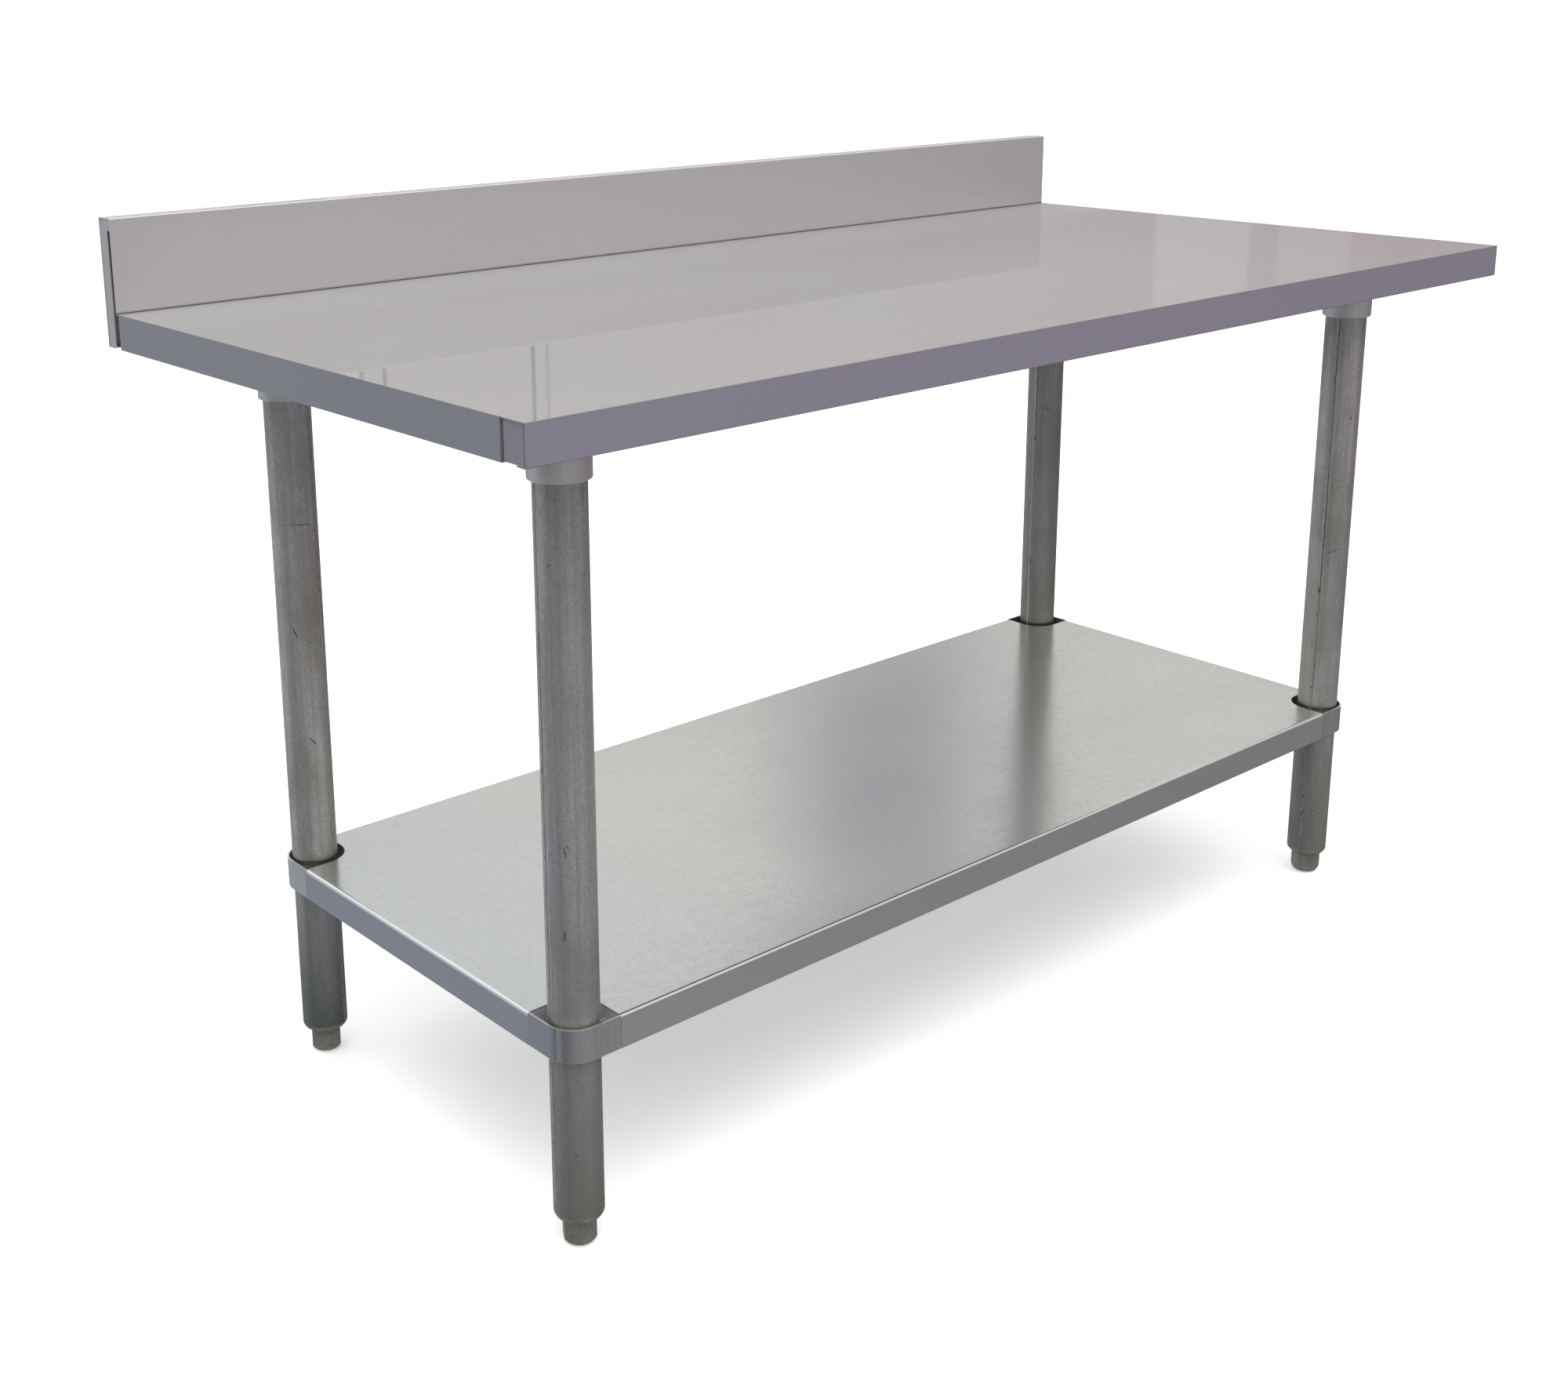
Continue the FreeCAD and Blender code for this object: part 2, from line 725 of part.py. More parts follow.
def shelf_corner_bracket(corner, sign, y, back):
    """The bent strip that lines a notch's inner edges and carries two clamp screws."""
    body = new_body(f"shelf_corner_bracket_{corner}")
    near = -notch
    far = -(notch + bracket)
    arm = overhang - cell("band_gauge")
    plan = new_sketch(body, "XY", f"bracket_{corner}_plan", shelf_base_z + gauge)
    angle_plan(plan, sign, back, arm, near, far)
    pad(body, plan, shelf_under_z - shelf_base_z - gauge)
    mid_z = shelf_top_z - cell("shelf_apron") / 2
    round_edges(body, [at(sign * near, back * near, mid_z)], cell("notch_radius"))
    round_edges(body, [at(sign * far, back * far, mid_z)], cell("notch_radius") + bracket)
    middle = near - bracket / 2
    tips = [at(sign * arm, back * middle, shelf_under_z), at(sign * middle, back * arm, shelf_under_z)]
    round_edges(body, tips, cell("bracket_chamfer"), kind="Chamfer")
    radius = cell("clamp_screw_radius") + cell("screw_clearance")
    drill_bracket(body, corner, "XZ", back, radius)
    drill_bracket(body, corner, "YZ", sign, radius)
    place(body, sign * leg_x, y, 0)


def drill_bracket(body, corner, plane, outward, radius):
    """A clearance hole through one wall of the bracket, on its inner side."""
    hole = new_sketch(body, plane, f"bracket_{corner}_hole_{plane}")
    circle(hole, 0, shelf_top_z - cell("clamp_screw_drop"), radius)
    inner_side_is_normal = outward < 0 if plane == "YZ" else outward > 0
    pocket(body, hole, notch + bracket * 2, reverse=inner_side_is_normal)


def shelf_stiffener():
    """A hat channel along the middle of the shelf's underside."""
    body = new_body("shelf_stiffener")
    section = new_sketch(body, "YZ", "stiffener_section")
    hat_section(section, shelf_under_z, cell("stiffener_height"))
    end = leg_x + overhang - cell("stiffener_end_gap")
    pad(body, section, end * 2, symmetric=True)
    place(body, 0, (leg_front_y + leg_rear_y) / 2, 0)


def shelf_clamp_screws():
    """Hex-headed screws, two through each bracket, whose tips press on the leg."""
    screw = fastener_master("clamp_screw_master")
    shank = new_sketch(screw, "XZ", "clamp_shank")
    circle(shank, 0, 0, cell("clamp_screw_radius"))
    pad(screw, shank, cell("clamp_screw_length"), reverse=True)
    head = new_sketch(screw, "XZ", "clamp_head", -cell("clamp_screw_length"))
    hexagon(head, cell("clamp_head_flats"))
    pad(screw, head, cell("clamp_head_height"), reverse=True)
    tip = leg_radius + cell("clamp_tip_gap")
    height = shelf_top_z - cell("clamp_screw_drop")
    positions = []
    turns = []
    for _, sign, y, back in LEGS:
        positions.append((sign * leg_x, y - back * tip, height))
        turns.append(HALF_TURN if back > 0 else 0)
        positions.append((sign * (leg_x - tip), y, height))
        turns.append(sign * QUARTER_TURN)
    fastener_group("shelf_clamp_screws", screw, positions, turns)


# ---- build, check and write ------------------------------------------------------------------


def build():
    """Make every sub-part in the document."""
    worktop_sheet()
    for side, sign in (("left", -1), ("right", 1)):
        splash_end_cap(side, sign)
        front_corner_plate(side, sign)
    cross_length, cross_y = cross_channel_span()
    studs = channel("top_channel_left", cross_length, -leg_x, cross_y)
    studs += channel("top_channel_right", cross_length, leg_x, cross_y)
    studs += channel("top_channel_centre", centre_channel_length(), sized(0), cross_y, along_x=True)
    channel_fasteners(studs)
    for corner, sign, y, back in LEGS:
        leg_socket(corner, sign, y)
        leg(corner, sign, y)
        foot_insert(corner, sign, y)
        foot_stem(corner, sign, y)
        bullet_foot(corner, sign, y)
        shelf_corner_band(corner, sign, y, back)
        shelf_corner_bracket(corner, sign, y, back)
    socket_set_screws()
    shelf_pan()
    shelf_stiffener()
    shelf_clamp_screws()


def check():
    """Stop if the document holds a failed object or a bad shape."""
    for item in doc.Objects:
        if "Invalid" in item.State or "Error" in item.State:
            raise RuntimeError(f"{item.Name} failed: {item.State}")
    for node in nodes:
        shape = node.Shape
        if shape.isNull() or not shape.isValid() or not shape.Solids:
            raise RuntimeError(f"{node.Label} has no sound shape")


def write():
    """Write each node's shape to its own STEP file."""
    os.makedirs("parts", exist_ok=True)
    for node in nodes:
        node.Shape.exportStep(f"parts/{node.Label}.step")
        print(f"{node.Label}: {len(node.Shape.Solids)} solids, {node.Shape.Volume:.0f} mm3")


build()
doc.recompute()
check()
write()
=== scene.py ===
import json
import math

import bmesh
import bpy
from mathutils import Matrix, Vector


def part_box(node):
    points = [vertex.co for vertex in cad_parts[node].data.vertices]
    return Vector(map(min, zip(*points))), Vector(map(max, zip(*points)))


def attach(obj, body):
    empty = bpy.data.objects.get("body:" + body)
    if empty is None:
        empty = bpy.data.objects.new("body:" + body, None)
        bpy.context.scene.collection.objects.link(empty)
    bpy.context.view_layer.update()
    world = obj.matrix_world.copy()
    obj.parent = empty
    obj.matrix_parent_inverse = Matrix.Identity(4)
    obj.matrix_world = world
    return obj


# Looks of the stainless work table: materials, weld and wear details, studio and camera.
# Metres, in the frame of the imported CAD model: X along the front, Y to the rear, Z up from the floor.

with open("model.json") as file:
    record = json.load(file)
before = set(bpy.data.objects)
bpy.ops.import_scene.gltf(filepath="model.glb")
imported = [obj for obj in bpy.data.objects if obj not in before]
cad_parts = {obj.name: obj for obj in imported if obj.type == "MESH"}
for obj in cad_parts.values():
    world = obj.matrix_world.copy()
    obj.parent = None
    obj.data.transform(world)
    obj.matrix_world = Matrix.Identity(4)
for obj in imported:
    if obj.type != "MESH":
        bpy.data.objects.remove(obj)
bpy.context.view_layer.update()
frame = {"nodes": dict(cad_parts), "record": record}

CORNERS = ("front_left", "front_right", "rear_left", "rear_right")

# ---- camera ----------------------------------------------------------------------------------

SENSOR = 36.0
CAMERA_AT = (-1.6467, -1.6145, 1.1953)
AZIMUTH = -39.86
ELEVATION = 14.71
ROLL = -0.74
LENS = 45.12
SHIFT = (0.075, -0.12)


def add_camera():
    """The camera at the viewing angle of the photograph."""
    data = bpy.data.cameras.new("camera")
    data.sensor_width = SENSOR
    data.lens = LENS
    data.shift_x, data.shift_y = SHIFT
    camera = bpy.data.objects.new("camera", data)
    bpy.context.scene.collection.objects.link(camera)
    turn, rise, roll = (math.radians(v) for v in (AZIMUTH, ELEVATION, ROLL))
    back = Vector((math.sin(turn) * math.cos(rise), -math.cos(turn) * math.cos(rise), math.sin(rise)))
    level = Vector((math.cos(turn), math.sin(turn), 0))
    upright = back.cross(level)
    right = level * math.cos(roll) + upright * math.sin(roll)
    up = upright * math.cos(roll) - level * math.sin(roll)
    pose = Matrix((right, up, back)).transposed().to_4x4()
    pose.translation = CAMERA_AT
    camera.matrix_world = pose
    bpy.context.scene.camera = camera


# ---- node helpers ----------------------------------------------------------------------------


class Shader:
    """A material's node tree, with short ways to add and join nodes."""

    def __init__(self, name):
        self.material = bpy.data.materials.new(name)
        self.material.use_nodes = True
        self.nodes = self.material.node_tree.nodes
        self.links = self.material.node_tree.links
        self.surface = self.nodes["Principled BSDF"]
        place = self.nodes.new("ShaderNodeTexCoord")
        self.place = place.outputs["Object"]
        self.normal = place.outputs["Normal"]

    @classmethod
    def on_tree(cls, tree, coordinate):
        """The same helpers on another node tree."""
        self = cls.__new__(cls)
        self.nodes, self.links = tree.nodes, tree.links
        self.place = self.nodes.new("ShaderNodeTexCoord").outputs[coordinate]
        return self

    def feed(self, socket, value):
        """Join an output to a socket, or set the socket to a plain value."""
        if isinstance(value, bpy.types.NodeSocket):
            self.links.new(value, socket)
        else:
            socket.default_value = value

    def mapped(self, scale, turn=(0, 0, 0), source=None):
        """Coordinates stretched and turned."""
        node = self.nodes.new("ShaderNodeMapping")
        self.feed(node.inputs["Vector"], source or self.place)
        node.inputs["Scale"].default_value = scale
        node.inputs["Rotation"].default_value = [math.radians(v) for v in turn]
        return node.outputs["Vector"]

    def noise(self, vector, scale, detail=2.0, roughness=0.5, distortion=0.0):
        """Noise around one half."""
        node = self.nodes.new("ShaderNodeTexNoise")
        self.feed(node.inputs["Vector"], vector)
        node.inputs["Scale"].default_value = scale
        node.inputs["Detail"].default_value = detail
        node.inputs["Roughness"].default_value = roughness
        node.inputs["Distortion"].default_value = distortion
        return node.outputs["Fac"]

    def ramp(self, value, low, high, out_low=0.0, out_high=1.0):
        """Values from low to high brought to out_low to out_high, and held there outside."""
        node = self.nodes.new("ShaderNodeMapRange")
        self.feed(node.inputs["Value"], value)
        names = ("From Min", "From Max", "To Min", "To Max")
        for name, number in zip(names, (low, high, out_low, out_high)):
            node.inputs[name].default_value = number
        return node.outputs["Result"]

    def math(self, kind, first, second):
        """One arithmetic step."""
        node = self.nodes.new("ShaderNodeMath")
        node.operation = kind
        self.feed(node.inputs[0], first)
        self.feed(node.inputs[1], second)
        return node.outputs[0]

    def times(self, first, second):
        return self.math("MULTIPLY", first, second)

    def plus(self, first, second):
        return self.math("ADD", first, second)

    def larger(self, first, second):
        return self.math("MAXIMUM", first, second)

    def mix(self, share, first, second):
        """Colours mixed by a share from 0 to 1."""
        node = self.nodes.new("ShaderNodeMix")
        node.data_type = "RGBA"
        self.feed(node.inputs["Factor"], share)
        for name, value in (("A", first), ("B", second)):
            socket = [s for s in node.inputs if s.name == name and s.type == "RGBA"][0]
            self.feed(socket, value)
        return [s for s in node.outputs if s.type == "RGBA"][0]

    def axis(self, name, source=None):
        """One coordinate of a vector."""
        node = self.nodes.new("ShaderNodeSeparateXYZ")
        self.feed(node.inputs[0], source or self.place)
        return node.outputs[name]

    def attribute(self, name):
        """A number stored on the mesh."""
        node = self.nodes.new("ShaderNodeAttribute")
        node.attribute_name = name
        return node.outputs["Fac"]

    def band(self, value, middle, half, soft):
        """One near a value of a coordinate, falling to nought beyond half, over soft."""
        away = self.math("ABSOLUTE", self.math("SUBTRACT", value, middle), 0.0)
        return self.ramp(away, half, half + soft, 1.0, 0.0)

    def scratches(self, turn, stretch, spacing, share):
        """Sparse fine streaks: one on a streak, nought elsewhere."""
        line = self.mapped((spacing, stretch, stretch), turn)
        return self.ramp(self.noise(line, 1.0, 1.0), 1.0 - share, 1.04 - share)

    def relief(self, layers):
        """Surface relief from (height, depth in metres) layers, chained into the normal."""
        normal = None
        for height, depth in layers:
            node = self.nodes.new("ShaderNodeBump")
            node.inputs["Strength"].default_value = 1.0
            node.inputs["Distance"].default_value = depth
            self.feed(node.inputs["Height"], height)
            if normal is not None:
                self.feed(node.inputs["Normal"], normal)
            normal = node.outputs["Normal"]
        self.feed(self.surface.inputs["Normal"], normal)

    def polish(self, weight, roughness):
        """A clear gloss over the surface."""
        self.surface.inputs["Coat Weight"].default_value = weight
        self.surface.inputs["Coat Roughness"].default_value = roughness

    def finish(self, colour, roughness, metallic=1.0, anisotropy=0.0, gloss=0.5):
        """Set the surface's colour, roughness and metal."""
        self.surface.inputs["Specular IOR Level"].default_value = gloss
        self.feed(self.surface.inputs["Base Color"], colour)
        self.feed(self.surface.inputs["Roughness"], roughness)
        self.surface.inputs["Metallic"].default_value = metallic
        self.surface.inputs["Anisotropic"].default_value = anisotropy
        return self.material


def grey(level, warmth=0.0, tint=0.0):
    """A near-grey linear colour: warmth moves it to yellow, tint to violet."""
    red = level * (1 + warmth + tint)
    green = level * (1 + warmth * 0.4 - tint)
    blue = level * (1 - warmth + tint * 1.5)
    return (red, green, blue, 1.0)


# ---- materials -------------------------------------------------------------------------------


SOCKET_TOP_TO_DECK = 0.0312
SEAM_SETBACK = 0.032
SPLASH_THICKNESS = 0.0254


def worktop_steel():
    """Fine brushed stainless sheet: grain along the length, faint tints, smudges and hairlines, with
    painted light and shade: a lighter splash and deck strip before it, violet and blue-grey aprons,
    dark lines at the corner seam, front fold and splash base.
    """
    s = Shader("worktop_steel")
    low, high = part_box("worktop_sheet")
    deck_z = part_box("leg_socket_front_left")[1].z + SOCKET_TOP_TO_DECK
    grain_along = s.noise(s.mapped((3.0, 900.0, 900.0)), 1.0, 3.0)
    grain_end = s.noise(s.mapped((900.0, 900.0, 3.0)), 1.0, 3.0)
    on_end = s.ramp(s.math("ABSOLUTE", s.axis("X", s.normal), 0.0), 0.6, 0.8)
    grain = s.plus(s.times(grain_along, s.math("SUBTRACT", 1.0, on_end)), s.times(grain_end, on_end))
    cloud = s.noise(s.mapped((1.0, 1.4, 1.4)), 2.6, 4.0, 0.55)
    mottle = s.noise(s.place, 38.0, 5.0, 0.6)
    blush = s.ramp(s.noise(s.mapped((1.0, 1.6, 1.0)), 1.9, 2.0), 0.42, 0.62)
    smudge = s.ramp(s.noise(s.mapped((1.0, 1.0, 1.0), (0, 0, 24)), 7.0, 3.0, 0.6, 0.6), 0.55, 0.75)
    slanted = s.scratches((0, 0, 31), 3.2, 420.0, 0.22)
    marks = s.larger(slanted, s.scratches((0, 0, 118), 2.6, 380.0, 0.21))
    marks = s.times(marks, s.ramp(s.noise(s.place, 4.0, 1.0), 0.5, 0.62))

    colour = s.mix(blush, (0.375, 0.366, 0.361, 1.0), (0.375, 0.355, 0.362, 1.0))
    colour = s.mix(s.ramp(s.axis("X"), -0.1, 0.7, 0.0, 0.6), colour, (0.372, 0.344, 0.352, 1.0))
    colour = s.mix(s.ramp(cloud, 0.35, 0.7, 0.0, 0.55), colour, (0.352, 0.343, 0.342, 1.0))
    colour = s.mix(s.ramp(mottle, 0.4, 0.75, 0.0, 0.30), colour, grey(0.322, 0.0))
    colour = s.mix(s.ramp(grain, 0.35, 0.75, 0.0, 0.22), colour, grey(0.275, 0.0))
    colour = s.mix(s.times(marks, 0.35), colour, grey(0.18, 0.0))
    upright = s.ramp(s.math("ABSOLUTE", s.axis("Z", s.normal), 0.0), 0.3, 0.7, 1.0, 0.0)
    face = high.y - SPLASH_THICKNESS
    faces_rear = s.ramp(s.axis("Y", s.normal), 0.5, 0.7)
    faces_side = s.ramp(s.math("ABSOLUTE", s.axis("X", s.normal), 0.0), 0.8, 0.95)
    on_cap = s.times(faces_side, s.ramp(s.axis("Y"), face - 0.0008, face))
    above_deck = s.ramp(s.axis("Z"), deck_z + 0.001, deck_z + 0.003)
    on_splash = s.larger(above_deck, s.larger(faces_rear, on_cap))
    off_splash = s.ramp(s.axis("Y"), high.y - 0.030, high.y - 0.028, 1.0, 0.0)
    on_apron = s.times(s.times(upright, s.math("SUBTRACT", 1.0, on_splash)), off_splash)
    flat = s.math("SUBTRACT", 1.0, upright)
    # Painted light: the deck strip before the splash is painted lighter, and the splash itself lighter
    # still.
    near_splash = s.times(s.ramp(s.axis("Y"), high.y - 0.20, high.y - 0.03), flat)
    colour = s.mix(s.times(near_splash, 0.42), colour, grey(0.62, 0.004, 0.004))
    colour = s.mix(s.times(on_splash, 0.6), colour, grey(0.66, 0.004, 0.012))
    # Painted light: the aprons are painted violet where they face the front and blue-grey where they
    # face the ends.
    faces_front = s.ramp(s.axis("Y", s.normal), -0.7, -0.3, 1.0, 0.0)
    tint = s.mix(faces_front, (0.300, 0.305, 0.345, 1.0), (0.405, 0.372, 0.495, 1.0))
    colour = s.mix(s.times(on_apron, 0.6), colour, tint)
    # Painted shade: a dark line on the side faces at the corner seam and on the front apron's end edge,
    # standing in for the shade of the gaps there.
    setback = low.y + SEAM_SETBACK
    edge = s.ramp(s.axis("Y"), low.y + 0.0011, low.y + 0.0013, 1.0, 0.0)
    seam = s.larger(s.band(s.axis("Y"), setback, 0.0010, 0.0008), edge)
    colour = s.mix(s.times(s.times(seam, faces_side), 0.85), colour, grey(0.06, 0.0, 0.01))
    # Painted shade: a dark line along the front fold, dimming its highlight.
    at_front = s.ramp(s.axis("Y"), low.y + 0.0008, low.y + 0.0014, 1.0, 0.0)
    front_fold_shade = s.times(s.band(s.axis("Z"), deck_z, 0.0008, 0.0006), at_front)
    colour = s.mix(s.times(front_fold_shade, 0.7), colour, grey(0.16, 0.02, 0.01))
    # Painted shade: a dark line in the crease at the foot of the splash.
    at_foot = s.band(s.axis("Z"), deck_z, 0.0007, 0.0006)
    splash_base_shade = s.times(s.band(s.axis("Y"), face, 0.0007, 0.0006), at_foot)
    colour = s.mix(s.times(splash_base_shade, 0.9), colour, grey(0.10, 0.02, 0.01))

    rough = s.ramp(cloud, 0.3, 0.7, 0.36, 0.43)
    rough = s.plus(rough, s.times(smudge, 0.05))
    rough = s.plus(rough, s.times(grain, 0.05))
    ripple = s.noise(s.mapped((1.0, 1.2, 1.2)), 4.5, 2.0, 0.4)
    s.relief([(ripple, 0.0010), (grain, 0.00003), (mottle, 0.00003)])
    s.polish(0.85, 0.03)
    return s.finish(colour, rough, 0.45, 0.25, 0.0)


def shelf_steel():
    """Smooth zinc-coated sheet: pale, finely speckled, with faint scuffs, and painted light and shade:
    a cooler left part, apron tones by the way they face, a bright line on the end bends and a darker
    one on the long bends.
    """
    s = Shader("shelf_steel")
    cloud = s.noise(s.mapped((1.0, 1.3, 1.0)), 2.2, 3.0, 0.5)
    speck = s.noise(s.place, 520.0, 2.0, 0.6)
    mottle = s.noise(s.place, 120.0, 4.0, 0.6)
    left_cool_light = s.ramp(s.axis("X"), -0.25, -0.62)
    slanted = s.scratches((0, 0, 12), 3.0, 360.0, 0.22)
    marks = s.larger(slanted, s.scratches((0, 0, 67), 2.4, 420.0, 0.21))
    marks = s.times(marks, s.ramp(s.noise(s.place, 3.2, 1.0), 0.48, 0.6))
    upright = s.ramp(s.math("ABSOLUTE", s.axis("Z", s.normal), 0.0), 0.2, 0.5, 1.0, 0.0)

    # Painted light: the left part of the shelf painted cooler.
    colour = s.mix(left_cool_light, (0.740, 0.732, 0.712, 1.0), (0.650, 0.682, 0.690, 1.0))
    colour = s.mix(s.ramp(cloud, 0.35, 0.7, 0.0, 0.4), colour, grey(0.575, 0.010))
    colour = s.mix(s.ramp(mottle, 0.42, 0.72, 0.0, 0.25), colour, grey(0.530, 0.012))
    colour = s.mix(s.ramp(speck, 0.45, 0.8, 0.0, 0.30), colour, grey(0.430, 0.010))
    colour = s.mix(s.times(marks, 0.3), colour, grey(0.38, 0.0))
    # Painted light and shade: the upright faces painted lighter, the end aprons a darker blue-grey.
    on_end = s.ramp(s.math("ABSOLUTE", s.axis("X", s.normal), 0.0), 0.93, 0.98)
    colour = s.mix(s.times(upright, 0.45), colour, grey(0.64, 0.015))
    colour = s.mix(s.times(on_end, 0.7), colour, (0.350, 0.352, 0.378, 1.0))
    # Painted highlight: a bright line along the bends at the shelf's ends.
    sloped = s.band(s.math("ABSOLUTE", s.axis("Z", s.normal), 0.0), 0.52, 0.42, 0.05)
    end_bend_highlight = s.times(sloped, s.ramp(s.math("ABSOLUTE", s.axis("X", s.normal), 0.0), 0.25, 0.4))
    long_bend_shade = s.times(sloped, s.ramp(s.math("ABSOLUTE", s.axis("Y", s.normal), 0.0), 0.25, 0.4))
    colour = s.mix(s.times(end_bend_highlight, 0.8), colour, (0.900, 0.915, 0.950, 1.0))
    # Painted light: the front and rear aprons painted a lighter, warmer grey.
    on_front = s.ramp(s.math("ABSOLUTE", s.axis("Y", s.normal), 0.0), 0.93, 0.98)
    colour = s.mix(s.times(on_front, 0.6), colour, (0.700, 0.705, 0.640, 1.0))
    # Painted shade: the long bends darkened to dim their highlight.
    colour = s.mix(s.times(long_bend_shade, 0.25), colour, grey(0.400, 0.0, 0.01))

    rough = s.ramp(cloud, 0.3, 0.7, 0.17, 0.23)
    rough = s.plus(rough, s.times(s.ramp(mottle, 0.4, 0.7), 0.03))
    rough = s.plus(rough, s.times(marks, 0.10))
    ripple = s.noise(s.mapped((1.0, 1.2, 1.0)), 4.0, 2.0, 0.4)
    s.relief([(ripple, 0.0008), (speck, 0.00001), (mottle, 0.00001)])
    return s.finish(colour, rough, 0.9)


def leg_tube():
    """Weathered zinc-coated tube: crinkled, blotched, streaked down its length, darker low down, with
    painted shade on the right legs and in a ring at the shelf's height on the rear and right legs.
    """
    s = Shader("leg_tube")
    shelf_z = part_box("shelf_pan")[1].z
    height = s.axis("Z")
    speck = s.noise(s.mapped((1.0, 1.0, 0.6)), 950.0, 3.0, 0.65)
    crinkle = s.noise(s.mapped((1.0, 1.0, 0.7)), 330.0, 4.0, 0.6, 0.4)
    blotch = s.noise(s.mapped((1.0, 1.0, 0.45)), 17.0, 4.0, 0.55, 0.4)
    streak = s.noise(s.mapped((170.0, 170.0, 3.0)), 1.0, 3.0, 0.6)
    patch = s.noise(s.mapped((1.0, 1.0, 0.7)), 7.0, 1.0)
    pits = s.ramp(s.noise(s.mapped((1.0, 1.0, 0.8)), 130.0, 2.0, 0.5), 0.72, 0.77)
    low_end = s.ramp(height, 0.02, 0.26, 1.0, 0.0)
    rear = s.ramp(s.axis("Y"), -0.1, 0.1)
    right = s.ramp(s.axis("X"), -0.2, 0.2)
    # Painted shade: the right legs painted darker, the rear right one most.
    right_leg_shade = s.plus(s.times(s.times(rear, right), 0.50), s.times(right, 0.12))

    colour = s.mix(s.ramp(patch, 0.38, 0.62), (0.800, 0.785, 0.735, 1.0), (0.670, 0.670, 0.660, 1.0))
    colour = s.mix(s.ramp(blotch, 0.40, 0.66, 0.0, 0.80), colour, (0.420, 0.412, 0.368, 1.0))
    colour = s.mix(s.ramp(streak, 0.42, 0.72, 0.0, 0.60), colour, (0.380, 0.374, 0.345, 1.0))
    colour = s.mix(s.ramp(crinkle, 0.42, 0.68, 0.0, 0.35), colour, (0.330, 0.325, 0.300, 1.0))
    colour = s.mix(s.ramp(speck, 0.45, 0.70, 0.0, 0.55), colour, (0.250, 0.246, 0.230, 1.0))
    colour = s.mix(right_leg_shade, colour, (0.230, 0.230, 0.220, 1.0))
    # Darker towards the bottom, most on the rear legs.
    dark_share = s.times(low_end, s.ramp(rear, 0.0, 1.0, 0.75, 0.92))
    colour = s.mix(dark_share, colour, s.mix(rear, (0.235, 0.255, 0.212, 1.0), (0.150, 0.178, 0.142, 1.0)))
    colour = s.mix(s.times(pits, 0.5), colour, grey(0.12, 0.03))
    # Painted shade: a dark ring round the rear and right legs at the shelf's height, standing in for
    # the shade of the gap at the notch.
    ring_shade_top = s.plus(shelf_z + 0.0012, s.times(s.math("SUBTRACT", blotch, 0.5), 0.004))
    ring = s.ramp(s.math("SUBTRACT", height, ring_shade_top), -0.0006, 0.0008, 1.0, 0.0)
    ring = s.times(ring, s.ramp(height, shelf_z - 0.006, shelf_z - 0.002))
    ring = s.times(ring, s.larger(rear, right))
    colour = s.mix(s.times(ring, 0.65), colour, grey(0.04, 0.02))

    rough = s.ramp(blotch, 0.3, 0.7, 0.38, 0.50)
    rough = s.plus(rough, s.times(speck, 0.12))
    rough = s.plus(rough, s.times(low_end, 0.06))
    s.relief([(blotch, 0.00020), (streak, 0.00004), (crinkle, 0.00006), (speck, 0.00003)])
    return s.finish(colour, rough, 0.85)


def socket_cast():
    """Satin cast collar: even, with a soft grain and rubbed edges."""
    s = Shader("socket_cast")
    low_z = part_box("leg_socket_front_left")[0].z
    grain = s.noise(s.place, 310.0, 4.0, 0.6)
    cloud = s.noise(s.place, 22.0, 3.0)
    rim = s.band(s.axis("Z"), low_z, 0.0012, 0.002)
    colour = s.mix(s.ramp(cloud, 0.35, 0.7), (0.860, 0.845, 0.800, 1.0), (0.800, 0.788, 0.745, 1.0))
    colour = s.mix(s.ramp(grain, 0.4, 0.75, 0.0, 0.4), colour, grey(0.660, 0.02))
    colour = s.mix(s.times(rim, 0.45), colour, grey(0.75, 0.01))
    rough = s.plus(s.ramp(cloud, 0.3, 0.7, 0.36, 0.44), s.times(grain, 0.08))
    s.relief([(cloud, 0.0002), (grain, 0.00005)])
    return s.finish(colour, rough, 0.65)


